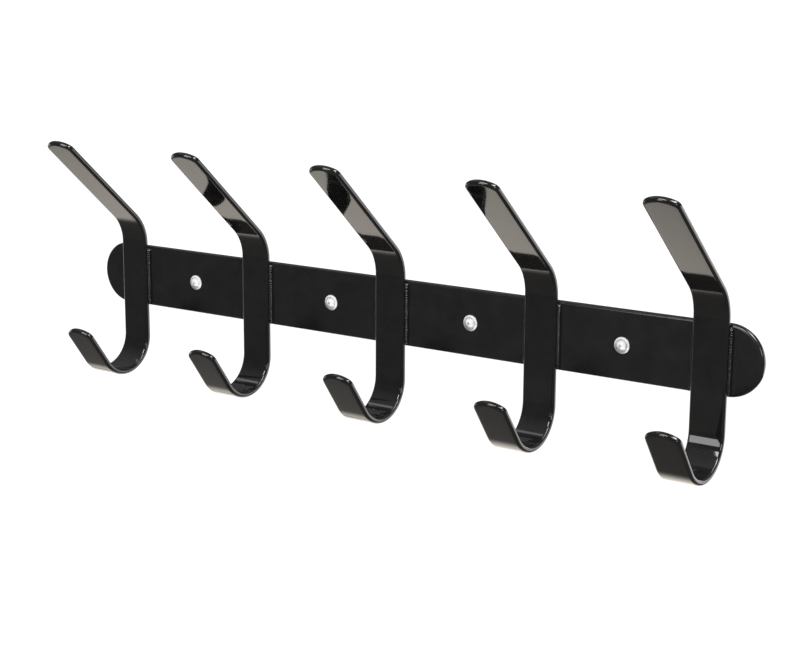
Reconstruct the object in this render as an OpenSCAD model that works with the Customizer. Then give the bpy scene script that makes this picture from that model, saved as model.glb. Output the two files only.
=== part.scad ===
// Wall-mounted tack rack: a flat steel bar with round ends carries a row of bent flat-strip
// hooks, welded on, and is held to the wall by a row of pan-head screws.
// Frame: +X along the bar, to the right seen from the front; +Z up; the front is -Y.
// The origin is the centre of the bar's back face, which lies on the wall at y = 0.

/* [Back bar] */
// Overall length of the bar
rack_length = 592; // [420:1:900]
// Height of the bar; its ends are half circles of this diameter
bar_height = 50; // [44:1:60]
// Thickness of the bar
bar_thickness = 5; // [4.5:0.5:8]
// Radius of the bar's worn and coated edges
bar_edge = 2; // [0.5:0.1:2.1]

/* [Hooks] */
// Number of hooks in the row
hook_count = 5; // [2:1:5]
// Distance from the bar's end to the middle of the nearest hook
end_overhang = 37; // [32:1:50]
// Width of the hook strip
strip_width = 26; // [20:1:30]
// Thickness of the hook strip
strip_thickness = 4.5; // [4.5:0.5:6]
// Radius of the strip's long edges
strip_edge = 2; // [0.5:0.1:2.1]

/* [Upper arm] */
// Height above the bar's middle at which the shank starts to bend forward
arm_bend_height = 27.5; // [26:0.5:35]
// Radius of the upper bend, at the middle of the strip
arm_bend_radius = 31; // [20:1:40]
// Angle of the upper bend, and so of the arm from the vertical
arm_bend_angle = 48.5; // [35:0.5:60]
// Length of the arm from the end of the bend to the end of its tip
arm_reach = 100; // [60:0.5:120]

/* [Lower hook] */
// Depth below the bar's middle at which the shank starts to curl forward
cup_bend_depth = 49.5; // [30:0.5:60]
// Radius of the curl, at the middle of the strip
cup_bend_radius = 26.4; // [18:0.1:35]
// Angle of the curl; 180 would point the lip straight up
cup_bend_angle = 144; // [120:1:160]
// Length of the lip from the end of the curl to the end of its tip
lip_reach = 37.5; // [20:0.5:50]

/* [Strip tips] */
// Radius of the flat arc across a tip
tip_radius = 18; // [16:0.5:19]

/* [Welds] */
// Leg of each fillet weld along a hook's side
weld_leg = 2.5; // [2.5:0.5:4]
// How far the weld's face bulges beyond a straight line between its toes
weld_crown = 0.4; // [0.2:0.1:0.8]

/* [Wall screws] */
// How far each hole lies right of the middle between its two hooks, first hole first
hole_shift = [0, 8, 5, -1.5]; // [-12:0.5:12]
// Diameter of the screw's plain shank
screw_diameter = 6; // [4:0.5:6]
// Length of the screw below its head
screw_length = 50; // [40:1:80]
// Diameter of the pan head, which ends in a thin flange
head_diameter = 12; // [11:0.5:14]
// Height of the pan head, flange included
head_height = 3.4; // [3:0.1:4.5]
// Diameter of the clearance hole in the bar
screw_hole = 7; // [6.5:0.1:8]

/* [Hidden] */
$fn = 72;
coat_black = [0.035, 0.035, 0.037];
weld_black = [0.06, 0.06, 0.06];
zinc = [0.78, 0.79, 0.80];

edge_steps = 5;                                   // facets round one rounded edge
bar_reach = rack_length / 2 - bar_height / 2;     // bar's middle to the centre of a round end
hook_pitch = (rack_length - 2 * end_overhang) / (hook_count - 1);
screw_count = hook_count - 1;
shank_plane = bar_thickness + strip_thickness / 2; // wall to the middle of a hook's shank
weld_length = bar_height - 2 * bar_edge;

// A bend is drawn this much smaller than the straight stretches and runs into them through a
// small angle, so that the stretches of a hook fuse into one strip.
bend_relief = 0.02;
bend_overlap = 0.3;

// Screw, measured along its axis from the bearing face below the head.
neck_radius = screw_diameter / 2 + 0.2;           // slightly thick under the head, inside the bar
neck_length = bar_thickness + 0.3;
plain_end = 18;                                   // end of the plain shank
thread_pitch = 2.6;
thread_root = screw_diameter / 2 - 0.9;
thread_crest = screw_diameter / 2 - 0.05;
point_length = 7;
thread_turns = floor((screw_length - point_length - plain_end - 1) / thread_pitch);
flange_width = 1.4;                               // from the foot of the dome to the head's rim
flange_height = 1.1;
flange_round = 0.5;
recess_width = 1;
recess_span = 4.8;
recess_depth = 1.9;

hook_numbers = [1 : hook_count];
screw_numbers = [1 : screw_count];

function hook_x(i) = (i - (hook_count + 1) / 2) * hook_pitch;
function screw_x(i) = (i - (screw_count + 1) / 2) * hook_pitch + hole_shift[i - 1];

// Points of a quarter circle of radius r about (x, y), from angle a to angle a + 90.
function quarter(x, y, r, a) =
    [for (k = [0 : edge_steps]) [x + r * cos(a + 90 * k / edge_steps), y + r * sin(a + 90 * k / edge_steps)]];

// Rectangle w by t about the origin with edges rounded to r.
module rounded_section(w, t, r) {
    polygon(concat(
        quarter(w / 2 - r, t / 2 - r, r, 0),
        quarter(r - w / 2, t / 2 - r, r, 90),
        quarter(r - w / 2, r - t / 2, r, 180),
        quarter(w / 2 - r, r - t / 2, r, 270)
    ));
}

// Half of that section, from the turning axis out to radius rim: the profile of a round plate.
module plate_profile(rim, t, r) {
    polygon(concat(
        [[0, -t / 2]],
        quarter(rim - r, r - t / 2, r, 270),
        quarter(rim - r, t / 2 - r, r, 0),
        [[0, t / 2]]
    ));
}

// Pie slice of a round plate standing in the XZ plane, from angle a, measured from +X, to b.
module plate_slice(rim, t, r, a, b) {
    rotate([90, 0, 0])
        rotate([0, 0, a])
            rotate_extrude(angle = b - a)
                plate_profile(rim, t, r);
}

// Flat strip standing on z = 0, as wide as the hooks and rounded along its edges.
module strip(length) {
    linear_extrude(length)
        rounded_section(strip_width, strip_thickness, strip_edge);
}

// The same strip with its far end cut to a flat arc that is rounded like the edges.
module tipped_strip(length) {
    arc_centre = length - tip_radius;
    intersection() {
        strip(length);
        union() {
            translate([0, 0, arc_centre])
                plate_slice(tip_radius, strip_thickness, strip_edge, 0, 360);
            translate([-strip_width, -strip_width, -1])
                cube([2 * strip_width, 2 * strip_width, arc_centre + 1]);
        }
    }
}

// Strip that leaves z = 0 upward, bends forward through an angle and runs straight to its tip.
module limb(radius, bend, reach) {
    translate([0, -radius, 0]) {
        rotate([90, 0, 90])
            rotate([0, 0, -bend_overlap])
                rotate_extrude(angle = bend + 2 * bend_overlap)
                    translate([radius, 0])
                        rounded_section(
                            strip_thickness - bend_relief, strip_width - bend_relief, strip_edge
                        );
        rotate([bend, 0, 0])
            translate([0, radius, 0])
                tipped_strip(reach);
    }
}

// One hook: the upright shank on the bar's face, the upper arm and the curled lower hook.
module hook(i) {
    color(coat_black)
        translate([hook_x(i), -shank_plane, 0]) {
            translate([0, 0, -cup_bend_depth])
                strip(cup_bend_depth + arm_bend_height);
            translate([0, 0, arm_bend_height])
                limb(arm_bend_radius, arm_bend_angle, arm_reach);
            translate([0, 0, -cup_bend_depth])
                mirror([0, 0, 1])
                    limb(cup_bend_radius, cup_bend_angle, lip_reach);
        }
}

// Flat bar with round ends and a clearance hole for each screw.
module back_bar() {
    color(coat_black)
        difference() {
            translate([0, -bar_thickness / 2, 0])
                union() {
                    translate([-bar_reach, 0, 0])
                        rotate([90, 0, 90])
                            linear_extrude(2 * bar_reach)
                                rounded_section(bar_thickness, bar_height, bar_edge);
                    translate([bar_reach, 0, 0])
                        plate_slice(bar_height / 2, bar_thickness, bar_edge, -90, 90);
                    translate([-bar_reach, 0, 0])
                        plate_slice(bar_height / 2, bar_thickness, bar_edge, 90, 270);
                }
            for (i = screw_numbers)
                translate([screw_x(i), 1, 0])
                    rotate([90, 0, 0])
                        cylinder(d = screw_hole, h = bar_thickness + 2);
        }
}

// Fillet weld in the corner between a hook's side and the bar's face. side is 1 on the right of
// the hook and -1 on the left. It fills the gap under the strip's rounded edge.
module weld(i, side) {
    contact = strip_width / 2 - strip_edge;
    top = min(weld_leg, strip_thickness - strip_edge); // on the flat of the strip's side
    face_steps = 8;
    under_edge = quarter(contact, strip_edge, strip_edge, -90);
    crowned_face = [for (k = [0 : face_steps])
        let (s = k / face_steps, bulge = weld_crown * sin(180 * s) / sqrt(2))
        [strip_width / 2 + weld_leg * s + bulge, top * (1 - s) + bulge]];
    toe = [strip_width / 2 + weld_leg, 0];
    color(weld_black)
        translate([hook_x(i), -bar_thickness, -weld_length / 2])
            mirror([side < 0 ? 1 : 0, 0, 0])
                mirror([0, 1, 0])
                    linear_extrude(weld_length)
                        polygon(concat(under_edge, crowned_face, [toe]));
}

// Profile of a screw in its own half plane: x is the radius, y runs from the head to the point.
module screw_profile() {
    head_r = head_diameter / 2;
    dome_r = head_r - flange_width;
    dome_height = head_height - flange_height;
    dome_steps = 10;
    dome = [for (k = [0 : dome_steps])
        [dome_r * sin(90 * k / dome_steps), -flange_height - dome_height * cos(90 * k / dome_steps)]];
    rim_steps = 4;
    rim = [for (k = [0 : rim_steps]) let (a = 90 * k / rim_steps)
        [head_r - flange_round * (1 - sin(a)), flange_round * (1 - cos(a)) - flange_height]];
    thread_start = plain_end + 1;
    ridges = [for (n = [0 : thread_turns - 1], c = [0 : 2])
        [c == 1 ? thread_crest : thread_root, thread_start + thread_pitch * (n + 0.25 + 0.25 * c)]];
    polygon(concat(
        dome,
        rim,
        [[head_r, 0], [neck_radius, 0], [neck_radius, neck_length]],
        [[screw_diameter / 2, neck_length], [screw_diameter / 2, plain_end]],
        [[thread_root, thread_start]],
        ridges,
        [[thread_root, screw_length - point_length], [0, screw_length]]
    ));
}

// Pan-head wood screw through the bar, with its bearing face on the bar's front.
module wall_screw(i) {
    color(zinc)
        translate([screw_x(i), -bar_thickness, 0])
            rotate([-90, 0, 0])
                difference() {
                    rotate_extrude()
                        screw_profile();
                    for (turn = [0, 90])
                        rotate([0, 0, turn])
                            translate([-recess_span / 2, -recess_width / 2, -head_height - 1])
                                cube([recess_span, recess_width, recess_depth + 1]);
                }
}

back_bar();
for (i = hook_numbers) {
    hook(i);
    weld(i, -1);
    weld(i, 1);
}
for (i = screw_numbers) {
    wall_screw(i);
}
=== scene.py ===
"""Looks of the wall-mounted tack rack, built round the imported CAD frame.

Units are metres. +X runs along the bar, +Z is up and the front of the rack is -Y. Every CAD node is
replaced by a finer piece of the same size: coated bar, coated strip hooks, rippled welds and screws
with a small cross recess and a helical thread. The lights suit the camera's own angle.
"""
import math
import random

import bmesh
import bpy
from mathutils import Matrix, Vector


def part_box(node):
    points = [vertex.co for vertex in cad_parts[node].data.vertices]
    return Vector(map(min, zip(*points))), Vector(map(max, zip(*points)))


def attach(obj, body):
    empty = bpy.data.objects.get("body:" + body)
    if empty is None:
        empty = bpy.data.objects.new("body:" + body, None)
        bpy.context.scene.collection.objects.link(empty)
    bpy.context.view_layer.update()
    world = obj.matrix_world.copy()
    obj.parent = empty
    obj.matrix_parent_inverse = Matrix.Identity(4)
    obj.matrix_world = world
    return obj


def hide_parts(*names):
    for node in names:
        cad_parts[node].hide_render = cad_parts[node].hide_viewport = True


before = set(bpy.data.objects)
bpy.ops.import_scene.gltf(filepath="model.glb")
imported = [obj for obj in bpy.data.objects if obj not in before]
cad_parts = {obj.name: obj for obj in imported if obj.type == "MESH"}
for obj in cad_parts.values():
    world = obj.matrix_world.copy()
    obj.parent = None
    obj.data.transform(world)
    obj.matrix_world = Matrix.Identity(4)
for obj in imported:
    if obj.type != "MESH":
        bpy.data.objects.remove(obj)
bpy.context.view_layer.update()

MM = 0.001
HOOKS = 5
SCREWS = HOOKS - 1

# Sizes that the CAD boxes don't give, as in the part's source.
BAR_EDGE = 2.0 * MM
STRIP_EDGE = 2.0 * MM
STRIP_THICKNESS = 4.5 * MM
ARM_BEND_HEIGHT = 27.5 * MM
ARM_BEND_RADIUS = 31.0 * MM
ARM_BEND_ANGLE = math.radians(48.5)
ARM_REACH = 100.0 * MM
CUP_BEND_DEPTH = 49.5 * MM
CUP_BEND_RADIUS = 26.4 * MM
CUP_BEND_ANGLE = math.radians(144.0)
LIP_REACH = 37.5 * MM
TIP_RADIUS = 18.0 * MM
TIP_CORNER = 6.0 * MM
WELD_LEG = 2.5 * MM
HOLE_RADIUS = 3.5 * MM
HEAD_RADIUS = 6.0 * MM
HEAD_HEIGHT = 3.4 * MM
NECK_RADIUS = 3.2 * MM
NECK_LENGTH = 5.3 * MM
SHANK_RADIUS = 3.0 * MM
PLAIN_END = 18.0 * MM
THREAD_ROOT = 2.1 * MM
THREAD_CREST = 2.95 * MM
THREAD_PITCH = 2.6 * MM
POINT_LENGTH = 7.0 * MM
SCREW_LENGTH = 50.0 * MM
FLOOR_HEIGHT = -0.9

bar_low, bar_high = (Vector(corner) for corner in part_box("back_bar"))
BAR_FRONT = bar_low.y
BAR_THICKNESS = bar_high.y - bar_low.y
BAR_LENGTH = bar_high.x - bar_low.x
BAR_HEIGHT = bar_high.z - bar_low.z


def middle_x(node):
    """X of the middle of a CAD node."""
    low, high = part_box(node)
    return (low[0] + high[0]) / 2


def width_x(node):
    """Size of a CAD node along X."""
    low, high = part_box(node)
    return high[0] - low[0]


# ---------------------------------------------------------------- meshes

def new_piece(name, vertices, faces, node=None, sharp_angle=50):
    """Mesh object that rides on the root, in place of a CAD node where one is given."""
    mesh = bpy.data.meshes.new(name)
    mesh.from_pydata(vertices, [], faces)
    mesh.validate()
    work = bmesh.new()
    work.from_mesh(mesh)
    bmesh.ops.remove_doubles(work, verts=work.verts, dist=1e-7)
    bmesh.ops.dissolve_degenerate(work, edges=work.edges, dist=1e-8)
    bmesh.ops.recalc_face_normals(work, faces=work.faces)
    work.to_mesh(mesh)
    work.free()
    piece = bpy.data.objects.new(name, mesh)
    bpy.context.collection.objects.link(piece)
    if node:
        finish_piece(piece, node, sharp_angle)
    return piece


def finish_piece(piece, node, sharp_angle=50):
    """Smooth shading, normals that keep flat faces flat, and the piece's place in the frame."""
    piece.data.polygons.foreach_set("use_smooth", [True] * len(piece.data.polygons))
    piece.data.set_sharp_from_angle(angle=math.radians(sharp_angle))
    weighted = piece.modifiers.new("flat_faces", "WEIGHTED_NORMAL")
    weighted.keep_sharp = True
    weighted.weight = 60
    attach(piece, "root")
    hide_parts(node)


def apply_boolean(piece, cutter):
    """Cuts cutter out of piece for good and deletes cutter."""
    cut = piece.modifiers.new("cut", "BOOLEAN")
    cut.operation = "DIFFERENCE"
    cut.solver = "EXACT"
    cut.object = cutter
    graph = bpy.context.evaluated_depsgraph_get()
    result = bpy.data.meshes.new_from_object(piece.evaluated_get(graph))
    work = bmesh.new()
    work.from_mesh(result)
    bmesh.ops.remove_doubles(work, verts=work.verts, dist=3e-6)
    bmesh.ops.dissolve_degenerate(work, edges=work.edges, dist=3e-6)
    work.to_mesh(result)
    work.free()
    piece.modifiers.remove(cut)
    old = piece.data
    piece.data = result
    bpy.data.meshes.remove(old)
    bpy.data.objects.remove(cutter)


def arc(first, last, steps):
    """steps + 1 angles from first to last."""
    return [first + (last - first) * k / steps for k in range(steps + 1)]


def rim_levels(thickness, edge, steps):
    """(inset, height) of each ring round a plate's rim, from its back face to its front face."""
    flat = thickness / 2 - edge
    levels = []
    for side, first, last in ((-1, -math.pi / 2, 0), (1, 0, math.pi / 2)):
        for angle in arc(first, last, steps):
            levels.append((edge * (1 - math.cos(angle)), side * flat + edge * math.sin(angle)))
    return levels


def plate(half_outline, levels, columns, place):
    """Vertices and faces of a plate with a rounded rim.

    half_outline(inset) lists (x, s) along one side from the near end to the far end, the same number
    of points at every inset. place(x, s, height) puts a point of the flat plate in space.
    """
    vertices, faces, rings = [], [], []

    def add_point(x, s, height):
        vertices.append(place(x, s, height))
        return len(vertices) - 1

    def across(point, height, end_sag):
        """Points between a row's two ends, left out at both ends, on the end's shallow arc."""
        x_end, s_end = point
        row = []
        for c in range(1, columns):
            x = x_end * (1 - 2 * c / columns)
            row.append(add_point(x, s_end + end_sag * (1 - (x / x_end) ** 2), height))
        return row

    for inset, height in levels:
        side = half_outline(inset)
        near_sag = -side[0][0] ** 2 / (2 * TIP_RADIUS)
        right = [add_point(x, s, height) for x, s in side]
        left = [add_point(-x, s, height) for x, s in side]
        far = across(side[-1], height, -near_sag)
        near = across(side[0], height, near_sag)
        rings.append((right, far, left, near))
    for below, above in zip(rings, rings[1:]):
        loops = []
        for right, far, left, near in (below, above):
            loops.append(right + far + left[::-1] + near[::-1])
        low, high = loops
        for k in range(len(low)):
            n = (k + 1) % len(low)
            faces.append((low[k], low[n], high[n], high[k]))
    for (right, far, left, near), (inset, height) in ((rings[0], levels[0]), (rings[-1], levels[-1])):
        side = half_outline(inset)
        rows = [[right[0], *near, left[0]]]
        for k in range(1, len(side) - 1):
            x_end, s = side[k]
            inner = [add_point(x_end * (1 - 2 * c / columns), s, height) for c in range(1, columns)]
            rows.append([right[k], *inner, left[k]])
        rows.append([right[-1], *far, left[-1]])
        for row, following in zip(rows, rows[1:]):
            for c in range(columns):
                faces.append((row[c], row[c + 1], following[c + 1], following[c]))
    return vertices, faces


# ---------------------------------------------------------------- hooks

CURL_START = LIP_REACH
SHANK_START = CURL_START + CUP_BEND_RADIUS * CUP_BEND_ANGLE
BEND_START = SHANK_START + CUP_BEND_DEPTH + ARM_BEND_HEIGHT
ARM_START = BEND_START + ARM_BEND_RADIUS * ARM_BEND_ANGLE
STRIP_LENGTH = ARM_START + ARM_REACH
STRIP_WIDTH = width_x("hook_3")
SHANK_PLANE = BAR_THICKNESS + STRIP_THICKNESS / 2


def strip_point(s):
    """(forward, up) of the strip's middle at s along it from the lip's tip, and its direction there."""
    if s > BEND_START:
        angle = min((s - BEND_START) / ARM_BEND_RADIUS, ARM_BEND_ANGLE)
        rest = max(s - ARM_START, 0)
        direction = (math.sin(angle), math.cos(angle))
        forward = SHANK_PLANE + ARM_BEND_RADIUS * (1 - math.cos(angle)) + rest * direction[0]
        up = ARM_BEND_HEIGHT + ARM_BEND_RADIUS * math.sin(angle) + rest * direction[1]
        return forward, up, direction
    if s < SHANK_START:
        angle = min((SHANK_START - s) / CUP_BEND_RADIUS, CUP_BEND_ANGLE)
        rest = max(CURL_START - s, 0)
        direction = (-math.sin(angle), math.cos(angle))
        forward = SHANK_PLANE + CUP_BEND_RADIUS * (1 - math.cos(angle)) - rest * direction[0]
        up = -CUP_BEND_DEPTH - CUP_BEND_RADIUS * math.sin(angle) - rest * direction[1]
        return forward, up, direction
    return SHANK_PLANE, -CUP_BEND_DEPTH + (s - SHANK_START), (0.0, 1.0)


def strip_stations():
    """Distances along the strip at which it gets a row of points between its two tips."""
    straight_step = 5.0 * MM
    bend_step = math.radians(3)
    near = TIP_RADIUS - (TIP_RADIUS - TIP_CORNER) * math.cos(tip_spread())
    marks = [near, CURL_START, SHANK_START, BEND_START, ARM_START, STRIP_LENGTH - near]
    stations = [marks[0]]
    for k in range(1, len(marks)):
        length = marks[k] - marks[k - 1]
        radius = {2: CUP_BEND_RADIUS, 4: ARM_BEND_RADIUS}.get(k)
        step = radius * bend_step if radius else straight_step
        count = math.ceil(length / step)
        stations += [marks[k - 1] + length * (n + 1) / count for n in range(count)]
    return stations


def tip_spread():
    """Half of the angle of a tip's flat arc, between its two corner arcs."""
    return math.asin((STRIP_WIDTH / 2 - TIP_CORNER) / (TIP_RADIUS - TIP_CORNER))


def strip_outline(inset):
    """One side of the flat strip's outline: a tip, the straight edge and the other tip."""
    spread = tip_spread()
    corner_x = STRIP_WIDTH / 2 - TIP_CORNER
    stations = strip_stations()
    arc_steps, corner_steps = 7, 8
    tip = []
    for k in range(arc_steps):
        angle = spread * (k + 0.5) / arc_steps
        rim = TIP_RADIUS - inset
        tip.append((rim * math.sin(angle), TIP_RADIUS - rim * math.cos(angle)))
    for angle in arc(spread, math.pi / 2, corner_steps)[:-1]:
        rim = TIP_CORNER - inset
        tip.append((corner_x + rim * math.sin(angle), stations[0] - rim * math.cos(angle)))
    edge = [(STRIP_WIDTH / 2 - inset, s) for s in stations]
    far_tip = [(x, STRIP_LENGTH - s) for x, s in reversed(tip)]
    return tip + edge + far_tip


def hook(number):
    """One bent strip with rounded edges and flat-arc tips."""
    node = f"hook_{number}"
    centre = middle_x(node)

    def place(x, s, height):
        forward, up, (toward, upward) = strip_point(s)
        return centre + x, -(forward + height * upward), up - height * toward

    levels = rim_levels(STRIP_THICKNESS, STRIP_EDGE, 7)
    vertices, faces = plate(strip_outline, levels, 6, place)
    return new_piece(f"hook_strip_{number}", vertices, faces, node)


# ---------------------------------------------------------------- bar

def bar_outline(inset):
    """One long side of the bar's outline with half of each round end."""
    radius = BAR_HEIGHT / 2
    rim = radius - inset
    steps = 22
    end = []
    for k in range(steps):
        angle = math.pi / 2 * (k + 0.5) / steps
        end.append((rim * math.sin(angle), radius - rim * math.cos(angle)))
    length = BAR_LENGTH - 2 * radius
    count = 60
    edge = [(rim, radius + length * k / count) for k in range(count + 1)]
    far_end = [(x, BAR_LENGTH - s) for x, s in reversed(end)]
    return end + edge + far_end


def cylinder_between(name, x, z, radius, y_low, y_high, sides=64):
    """Closed cylinder along Y, used to cut a hole."""
    vertices = []
    for y in (y_low, y_high):
        for k in range(sides):
            turn = 2 * math.pi * k / sides
            vertices.append((x + radius * math.cos(turn), y, z + radius * math.sin(turn)))
    faces = [tuple(range(sides)), tuple(range(2 * sides - 1, sides - 1, -1))]
    for k in range(sides):
        n = (k + 1) % sides
        faces.append((k, n, sides + n, sides + k))
    return new_piece(name, vertices, faces)


def back_bar():
    """Flat bar with half-round ends, rounded edges and four clearance holes."""
    levels = rim_levels(BAR_THICKNESS, BAR_EDGE, 6)
    middle_y = (bar_low.y + bar_high.y) / 2

    def place(x, s, height):
        return bar_low.x + s, middle_y - height, x

    vertices, faces = plate(bar_outline, levels, 8, place)
    piece = new_piece("bar_coated", vertices, faces)
    for number in range(1, SCREWS + 1):
        x = middle_x(f"wall_screw_{number}")
        cutter = cylinder_between("hole_cutter", x, 0, HOLE_RADIUS, bar_low.y - 0.01, bar_high.y + 0.01)
        apply_boolean(piece, cutter)
    finish_piece(piece, "back_bar", 40)
    return piece


# ---------------------------------------------------------------- welds

def weld(number, side_name):
    """Fillet bead down one side of a shank: crowned, with overlapping ripples and rounded ends."""
    node = f"weld_{number}_{side_name}"
    low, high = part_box(node)
    side = 1 if side_name == "right" else -1
    hook_side = middle_x(f"hook_{number}") + side * STRIP_WIDTH / 2
    draw = random.Random(10 * number + side)
    length = high[2] - low[2]
    rows = 236
    across = 14
    ripple_pitch = 1.9 * MM
    ripple_height = 0.30 * MM
    crown = 0.30 * MM
    mean_scallop = 0.6                              # so that the ripples leave the crown's mean height
    end_length = 2.2 * MM
    least_rise = 0.15 * MM
    wander = [draw.uniform(-1, 1) for _ in range(18)]
    vertices, faces = [], []
    under_edge = [(-STRIP_EDGE + STRIP_EDGE * math.sin(a), STRIP_EDGE - STRIP_EDGE * math.cos(a))
                  for a in arc(0, math.pi / 2, 5)]
    for row in range(rows + 1):
        t = row / rows
        z = low[2] + length * t
        to_end = min(t, 1 - t) * length
        taper = math.sqrt(max(0.0, 1 - max(0.0, 1 - to_end / end_length) ** 2))
        spot = t * (len(wander) - 1)
        k = min(int(spot), len(wander) - 2)
        drift = wander[k] + (wander[k + 1] - wander[k]) * (spot - k)
        leg = WELD_LEG * (0.93 + 0.05 * drift) * (0.25 + 0.75 * taper)
        rise = max(leg - STRIP_EDGE, least_rise)
        section = list(under_edge)
        for c in range(across + 1):
            f = c / across
            phase = z / ripple_pitch + 0.45 * math.sin(math.pi * f) + 0.25 * drift
            scallop = abs(math.sin(math.pi * phase)) ** 0.7
            bulge = (crown + ripple_height * (scallop - mean_scallop)) * math.sin(math.pi * f) * taper
            section.append((leg * f + bulge, STRIP_EDGE + rise * (1 - f) - STRIP_EDGE * f * f + bulge))
        section.append((-STRIP_EDGE / 2, 0.0))
        for out, forward in section:
            vertices.append((hook_side + side * out, BAR_FRONT - max(forward, 0.0), z))
    count = len(under_edge) + across + 2
    for row in range(rows):
        for c in range(count):
            n = (c + 1) % count
            a, b = row * count, (row + 1) * count
            faces.append((a + c, a + n, b + n, b + c))
    faces.append(tuple(range(count)))
    faces.append(tuple(range(rows * count, (rows + 1) * count)))
    return new_piece(f"weld_bead_{number}_{side_name}", vertices, faces, node, 60)


# ---------------------------------------------------------------- screws

def lathe(name, profile, sides):
    """Solid turned about Y. profile lists (radius, y) from the axis at one end to the axis at the other."""
    vertices, faces, rings = [], [], []
    for radius, y in profile:
        if radius == 0:
            vertices.append((0, y, 0))
            rings.append([len(vertices) - 1] * sides)
            continue
        ring = []
        for k in range(sides):
            turn = 2 * math.pi * k / sides
            vertices.append((radius * math.cos(turn), y, radius * math.sin(turn)))
            ring.append(len(vertices) - 1)
        rings.append(ring)
    for ring, following in zip(rings, rings[1:]):
        for k in range(sides):
            n = (k + 1) % sides
            corners = []
            for corner in (ring[k], ring[n], following[n], following[k]):
                if corner not in corners:
                    corners.append(corner)
            faces.append(tuple(corners))
    return new_piece(name, vertices, faces)


def recess_slot(turn):
    """One tapered bar of the cross recess, turned about the screw's axis, to be cut out of the head."""
    half_width, half_span, depth = 0.34 * MM, 1.7 * MM, 1.2 * MM
    top, foot = -HEAD_HEIGHT - 1 * MM, -HEAD_HEIGHT + depth
    vertices = []
    for y, wide, span in ((top, half_width * 1.3, half_span * 1.2), (foot, half_width * 0.7, half_width)):
        for side_x, side_z in ((1, 1), (-1, 1), (-1, -1), (1, -1)):
            corner = Vector((side_x * span, y, side_z * wide))
            vertices.append(Matrix.Rotation(turn, 3, "Y") @ corner)
    faces = [(0, 1, 2, 3), (7, 6, 5, 4)]
    faces += [(k, k + 4, (k + 1) % 4 + 4, (k + 1) % 4) for k in range(4)]
    return new_piece("recess_slot", vertices, faces)


def head_profile():
    """Domed head with a thin round flange, and the plain neck and shank below it."""
    dome_radius, dome_foot = 4.7 * MM, 1.45 * MM
    flange_edge, rim_round, foot_inset, chamfer = 1.05 * MM, 0.5 * MM, 0.6 * MM, 0.2 * MM
    dome_height = HEAD_HEIGHT - dome_foot
    ball_radius = (dome_radius ** 2 + dome_height ** 2) / (2 * dome_height)
    profile = [(0, -HEAD_HEIGHT)]
    for angle in arc(0, math.asin(dome_radius / ball_radius), 14)[1:]:
        profile.append((ball_radius * math.sin(angle), -HEAD_HEIGHT + ball_radius * (1 - math.cos(angle))))
    for angle in arc(math.radians(60), -math.pi / 2, 7):
        profile.append((HEAD_RADIUS - rim_round * (1 - math.cos(angle)),
                        -flange_edge + rim_round - rim_round * math.sin(angle)))
    profile += [(HEAD_RADIUS - foot_inset, 0), (NECK_RADIUS + chamfer, 0), (NECK_RADIUS, chamfer)]
    profile += [(NECK_RADIUS, NECK_LENGTH), (SHANK_RADIUS, NECK_LENGTH + chamfer)]
    profile += [(SHANK_RADIUS, PLAIN_END - 0.4 * MM), (THREAD_ROOT, PLAIN_END + 0.6 * MM)]
    profile += [(0, PLAIN_END + 0.6 * MM)]
    return profile


def thread_mesh():
    """Threaded length as one helical surface whose rows follow the thread, down to a sharp point."""
    sides = 36
    shape = [0.0, 0.0, 0.35, 1.0, 0.7, 0.0]        # thread depth at even steps along one pitch
    steps = len(shape)
    start, end = PLAIN_END + 0.3 * MM, SCREW_LENGTH
    turns = math.ceil((end - start) / THREAD_PITCH) + 1
    vertices, faces = [], []
    rows = (turns + 1) * steps
    for row in range(rows + 1):
        for k in range(sides + 1):
            y = start + THREAD_PITCH * (row / steps - 1 + k / sides)
            y = min(max(y, start), end)
            to_point = (end - y) / POINT_LENGTH
            core = THREAD_ROOT * min(1.0, to_point)
            run_in = min(1.0, max(0.0, (y - start - 0.5 * MM) / (2 * MM)))
            depth = (THREAD_CREST - THREAD_ROOT) * min(1.0, to_point * 1.25) * run_in
            radius = core + depth * shape[row % steps]
            turn = 2 * math.pi * k / sides
            vertices.append((radius * math.cos(turn), y, radius * math.sin(turn)))
    for row in range(rows):
        for k in range(sides):
            a, b = row * (sides + 1) + k, (row + 1) * (sides + 1) + k
            faces.append((a, a + 1, b + 1, b))
    return vertices, faces


def wall_screw(number):
    """Pan-head wood screw: head and shank turned in one, with the thread joined on."""
    node = f"wall_screw_{number}"
    piece = lathe(f"screw_{number}", head_profile(), 72)
    for turn in (0, math.pi / 2):
        apply_boolean(piece, recess_slot(turn))
    work = bmesh.new()
    work.from_mesh(piece.data)
    vertices, faces = thread_mesh()
    made = [work.verts.new(v) for v in vertices]
    for face in faces:
        work.faces.new([made[k] for k in face])
    bmesh.ops.remove_doubles(work, verts=made, dist=2e-6)
    bmesh.ops.dissolve_degenerate(work, edges=work.edges, dist=1e-7)
    open_edges = [edge for edge in work.edges if edge.is_boundary]
    bmesh.ops.holes_fill(work, edges=open_edges, sides=0)
    bmesh.ops.recalc_face_normals(work, faces=work.faces)
    quarter_turns = (0.12, 0.55, 0.31, 0.84)
    bmesh.ops.rotate(work, verts=work.verts, cent=(0, 0, 0),
                     matrix=Matrix.Rotation(quarter_turns[number - 1] * math.pi / 2, 3, "Y"))
    work.to_mesh(piece.data)
    work.free()
    piece.location = (middle_x(node), BAR_FRONT, 0)
    finish_piece(piece, node, 35)
    return piece


# ---------------------------------------------------------------- materials

def add(nodes, kind, **values):
    """New shader node with its attributes and, by name, its inputs set."""
    node = nodes.new(kind)
    for key, value in values.items():
        if key in node.inputs:
            node.inputs[key].default_value = value
        else:
            setattr(node, key, value)
    return node


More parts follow.
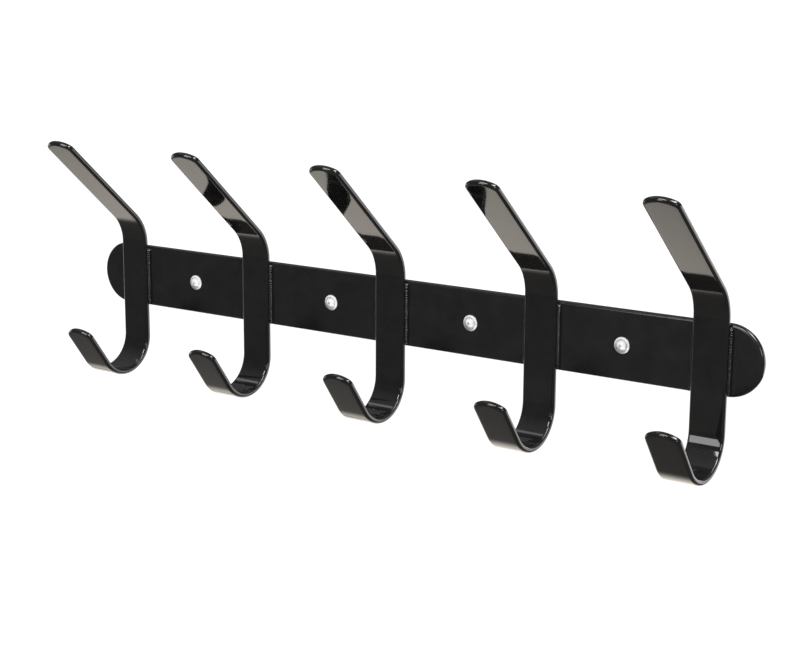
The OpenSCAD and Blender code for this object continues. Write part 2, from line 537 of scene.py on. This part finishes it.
def new_material(name):
    """Material with its nodes, its links and its Principled shader."""
    material = bpy.data.materials.new(name)
    material.use_nodes = True
    nodes = material.node_tree.nodes
    return material, nodes, material.node_tree.links, nodes["Principled BSDF"]


def coated_black(name, tone, rough, peel, wave):
    """Gloss black coating: a slightly uneven tone and gloss, orange peel and slow waves in the film."""
    material, nodes, links, shader = new_material(name)
    shader.inputs["IOR"].default_value = 1.5
    where = add(nodes, "ShaderNodeTexCoord")
    mottle = add(nodes, "ShaderNodeTexNoise", Scale=90.0, Detail=6.0, Roughness=0.6)
    colour = add(nodes, "ShaderNodeValToRGB")
    colour.color_ramp.elements[0].position, colour.color_ramp.elements[1].position = 0.3, 0.75
    colour.color_ramp.elements[0].color = (tone * 0.75, tone * 0.75, tone * 0.78, 1)
    colour.color_ramp.elements[1].color = (tone * 1.35, tone * 1.33, tone * 1.3, 1)
    gloss = add(nodes, "ShaderNodeMapRange")
    gloss.inputs["To Min"].default_value, gloss.inputs["To Max"].default_value = rough * 0.7, rough * 1.4
    fine = add(nodes, "ShaderNodeTexNoise", Scale=620.0, Detail=2.0)
    slow = add(nodes, "ShaderNodeTexNoise", Scale=38.0, Detail=1.5)
    fine_bump = add(nodes, "ShaderNodeBump", Strength=1.0, Distance=peel)
    slow_bump = add(nodes, "ShaderNodeBump", Strength=1.0, Distance=wave)
    for texture in (mottle, fine, slow):
        links.new(where.outputs["Object"], texture.inputs["Vector"])
    links.new(mottle.outputs["Fac"], colour.inputs["Fac"])
    links.new(colour.outputs["Color"], shader.inputs["Base Color"])
    links.new(mottle.outputs["Fac"], gloss.inputs["Value"])
    links.new(gloss.outputs["Result"], shader.inputs["Roughness"])
    links.new(slow.outputs["Fac"], slow_bump.inputs["Height"])
    links.new(fine.outputs["Fac"], fine_bump.inputs["Height"])
    links.new(slow_bump.outputs["Normal"], fine_bump.inputs["Normal"])
    links.new(fine_bump.outputs["Normal"], shader.inputs["Normal"])
    return material


def bright_zinc():
    """Zinc-plated steel: metal with faint turning rings and cloudy plating."""
    material, nodes, links, shader = new_material("bright_zinc")
    shader.inputs["Metallic"].default_value = 1.0
    where = add(nodes, "ShaderNodeTexCoord")
    cloud = add(nodes, "ShaderNodeTexNoise", Scale=420.0, Detail=5.0)
    colour = add(nodes, "ShaderNodeValToRGB")
    colour.color_ramp.elements[0].position, colour.color_ramp.elements[1].position = 0.3, 0.7
    colour.color_ramp.elements[0].color = (0.70, 0.71, 0.72, 1)
    colour.color_ramp.elements[1].color = (0.90, 0.91, 0.93, 1)
    gloss = add(nodes, "ShaderNodeMapRange")
    gloss.inputs["To Min"].default_value, gloss.inputs["To Max"].default_value = 0.34, 0.48
    rings = add(nodes, "ShaderNodeTexWave", wave_type="RINGS", rings_direction="Y",
                Scale=900.0, Distortion=1.5, Detail=2.0)
    bump = add(nodes, "ShaderNodeBump", Strength=0.35, Distance=0.00003)
    for texture in (cloud, rings):
        links.new(where.outputs["Object"], texture.inputs["Vector"])
    links.new(cloud.outputs["Fac"], colour.inputs["Fac"])
    links.new(colour.outputs["Color"], shader.inputs["Base Color"])
    links.new(cloud.outputs["Fac"], gloss.inputs["Value"])
    links.new(gloss.outputs["Result"], shader.inputs["Roughness"])
    links.new(rings.outputs["Fac"], bump.inputs["Height"])
    links.new(bump.outputs["Normal"], shader.inputs["Normal"])
    return material


# ---------------------------------------------------------------- stage

def point_at(target, azimuth, elevation, distance):
    """Place at a distance from target. Azimuth 0 is in front, -Y, and 90 is at +X."""
    a, e = math.radians(azimuth), math.radians(elevation)
    away = Vector((math.sin(a) * math.cos(e), -math.cos(a) * math.cos(e), math.sin(e)))
    return Vector(target) + away * distance, away


def camera():
    """Camera right of the middle and a little above, turned a quarter of a degree off level."""
    target = (3.7 * MM, 0, -15.1 * MM)
    place, away = point_at(target, 34.9, 12.4, 1.280)
    data = bpy.data.cameras.new("camera")
    data.sensor_width = 36.0
    data.lens = 76.75
    data.dof.use_dof = False
    holder = bpy.data.objects.new("camera", data)
    holder.rotation_mode = "QUATERNION"
    holder.location = place
    roll = Matrix.Rotation(math.radians(0.27), 4, "Z").to_quaternion()
    holder.rotation_quaternion = away.to_track_quat("Z", "Y") @ roll
    bpy.context.collection.objects.link(holder)
    bpy.context.scene.camera = holder


def light_only(holder, pieces):
    """Lets a light fall on the given pieces and on nothing else."""
    lit = bpy.data.collections.new("lit_by_" + holder.name)
    for piece in pieces:
        lit.objects.link(piece)
    holder.light_linking.receiver_collection = lit


def softbox(pieces, name, azimuth, elevation, distance, size, radiance):
    """Rectangular area light that faces the rack and lights only the given pieces of it.

    radiance is how bright its face looks in a reflection.
    """
    data = bpy.data.lights.new(name, "AREA")
    data.shape = "RECTANGLE"
    data.size, data.size_y = size
    data.energy = radiance * math.pi * size[0] * size[1]
    holder = bpy.data.objects.new(name, data)
    place, away = point_at((0, 0, 0), azimuth, elevation, distance)
    holder.location = place
    holder.rotation_mode = "QUATERNION"
    holder.rotation_quaternion = away.to_track_quat("Z", "Y")
    bpy.context.collection.objects.link(holder)
    light_only(holder, pieces)


def pool_light(disc):
    """Beam from the upper right that lights only the floor behind the rack, whose shadow falls in it."""
    data = bpy.data.lights.new("pool", "SPOT")
    data.energy = 4700.0
    data.spot_size = math.radians(25.8)
    data.spot_blend = 0.35
    data.shadow_soft_size = 0.15
    data.color = (1.0, 0.97, 0.93)
    holder = bpy.data.objects.new("pool", data)
    place, _ = point_at((0, 0, 0), 60, 40, 5.0)
    aim = Vector((-1.4, 1.68, FLOOR_HEIGHT))
    holder.location = place
    holder.rotation_mode = "QUATERNION"
    holder.rotation_quaternion = (place - aim).to_track_quat("Z", "Y")
    bpy.context.collection.objects.link(holder)
    light_only(holder, [disc])


def seen_white(nodes, links, kind, lit_shader, strength):
    """Plain white of a shader kind to the camera itself; reflections and bounces get lit_shader."""
    white = add(nodes, kind, Color=(1, 1, 1, 1), Strength=strength)
    path = add(nodes, "ShaderNodeLightPath")
    mix = add(nodes, "ShaderNodeMixShader")
    links.new(path.outputs["Is Camera Ray"], mix.inputs["Fac"])
    links.new(lit_shader, mix.inputs[1])
    links.new(white.outputs[0], mix.inputs[2])
    return mix.outputs["Shader"]


def floor():
    """Round pale floor, well below the rack, because the rack hangs on a wall."""
    bpy.ops.mesh.primitive_circle_add(vertices=128, radius=3.5, fill_type="NGON",
                                      location=(0, 0, FLOOR_HEIGHT))
    disc = bpy.context.object
    disc.name = "floor"
    material, nodes, links, shader = new_material("pale_floor")
    shader.inputs["Base Color"].default_value = (0.87, 0.83, 0.77, 1)
    shader.inputs["Roughness"].default_value = 0.9
    shader.inputs["Specular IOR Level"].default_value = 0.1
    seen = seen_white(nodes, links, "ShaderNodeEmission", shader.outputs["BSDF"], 1.1)
    links.new(seen, nodes["Material Output"].inputs["Surface"])
    disc.data.materials.append(material)
    return disc


def surroundings():
    """White backdrop; what the coating reflects is dim at eye level and brighter overhead."""
    world = bpy.data.worlds.new("studio")
    bpy.context.scene.world = world
    world.use_nodes = True
    nodes, links = world.node_tree.nodes, world.node_tree.links
    nodes.clear()
    where = add(nodes, "ShaderNodeTexCoord")
    height = add(nodes, "ShaderNodeSeparateXYZ")
    ramp = add(nodes, "ShaderNodeValToRGB")
    stops = ((0.0, 0.15), (0.42, 0.18), (0.56, 0.15), (0.72, 0.17), (0.92, 0.40))
    while len(ramp.color_ramp.elements) < len(stops):
        ramp.color_ramp.elements.new(0.5)
    for element, (position, value) in zip(ramp.color_ramp.elements, stops):
        element.position = position
        element.color = (value, value, value * 1.03, 1)
    scale = add(nodes, "ShaderNodeMapRange")
    scale.inputs["From Min"].default_value = -1.0
    dim = add(nodes, "ShaderNodeBackground", Strength=1.0)
    out = add(nodes, "ShaderNodeOutputWorld")
    links.new(where.outputs["Generated"], height.inputs["Vector"])
    links.new(height.outputs["Z"], scale.inputs["Value"])
    links.new(scale.outputs["Result"], ramp.inputs["Fac"])
    links.new(ramp.outputs["Color"], dim.inputs["Color"])
    seen = seen_white(nodes, links, "ShaderNodeBackground", dim.outputs["Background"], 1.15)
    links.new(seen, out.inputs["Surface"])


# ---------------------------------------------------------------- build

camera()
pool_light(floor())
surroundings()

view_settings = bpy.context.scene.view_settings
view_settings.view_transform = "Standard"

hook_paint = coated_black("hook_gloss_black", 0.007, 0.045, 0.000001, 0.00002)
bar_paint = coated_black("bar_gloss_black", 0.007, 0.18, 0.000005, 0.00002)
weld_paint = coated_black("weld_gloss_black", 0.007, 0.14, 0.000012, 0.00004)
zinc = bright_zinc()

coated = [back_bar()]
coated[0].data.materials.append(bar_paint)
for number in range(1, HOOKS + 1):
    strip = hook(number)
    strip.data.materials.append(hook_paint)
    coated.append(strip)
    for side_name in ("left", "right"):
        bead = weld(number, side_name)
        bead.data.materials.append(weld_paint)
        coated.append(bead)
screws = [wall_screw(number) for number in range(1, SCREWS + 1)]
for screw in screws:
    screw.data.materials.append(zinc)

softbox(coated, "key", 68, 50, 2.2, (1.0, 0.7), 16.0)
softbox(coated, "key_back", 108, 57, 2.2, (1.0, 0.5), 9.0)
softbox(coated, "front", -12, 10, 2.2, (0.75, 0.8), 6.0)
softbox(coated, "top_front", -3, 44, 2.2, (1.1, 0.6), 14.0)
softbox(coated, "low_right", 57, 12, 2.2, (0.4, 0.5), 12.0)
softbox(coated, "left_strip", -93, 55, 2.2, (0.3, 1.0), 1.5)
softbox(coated, "left_card", -95, -5, 2.0, (1.5, 1.0), 1.5)
softbox(coated, "back_right", 145, -10, 2.2, (3.0, 1.4), 2.1)
softbox(screws, "screw_front", 0, 20, 2.0, (3.0, 2.4), 1.1)
softbox(screws, "screw_left", -60, 5, 2.0, (1.6, 2.4), 1.0)
softbox(screws, "screw_low", 10, -42, 1.2, (2.6, 1.0), 1.7)
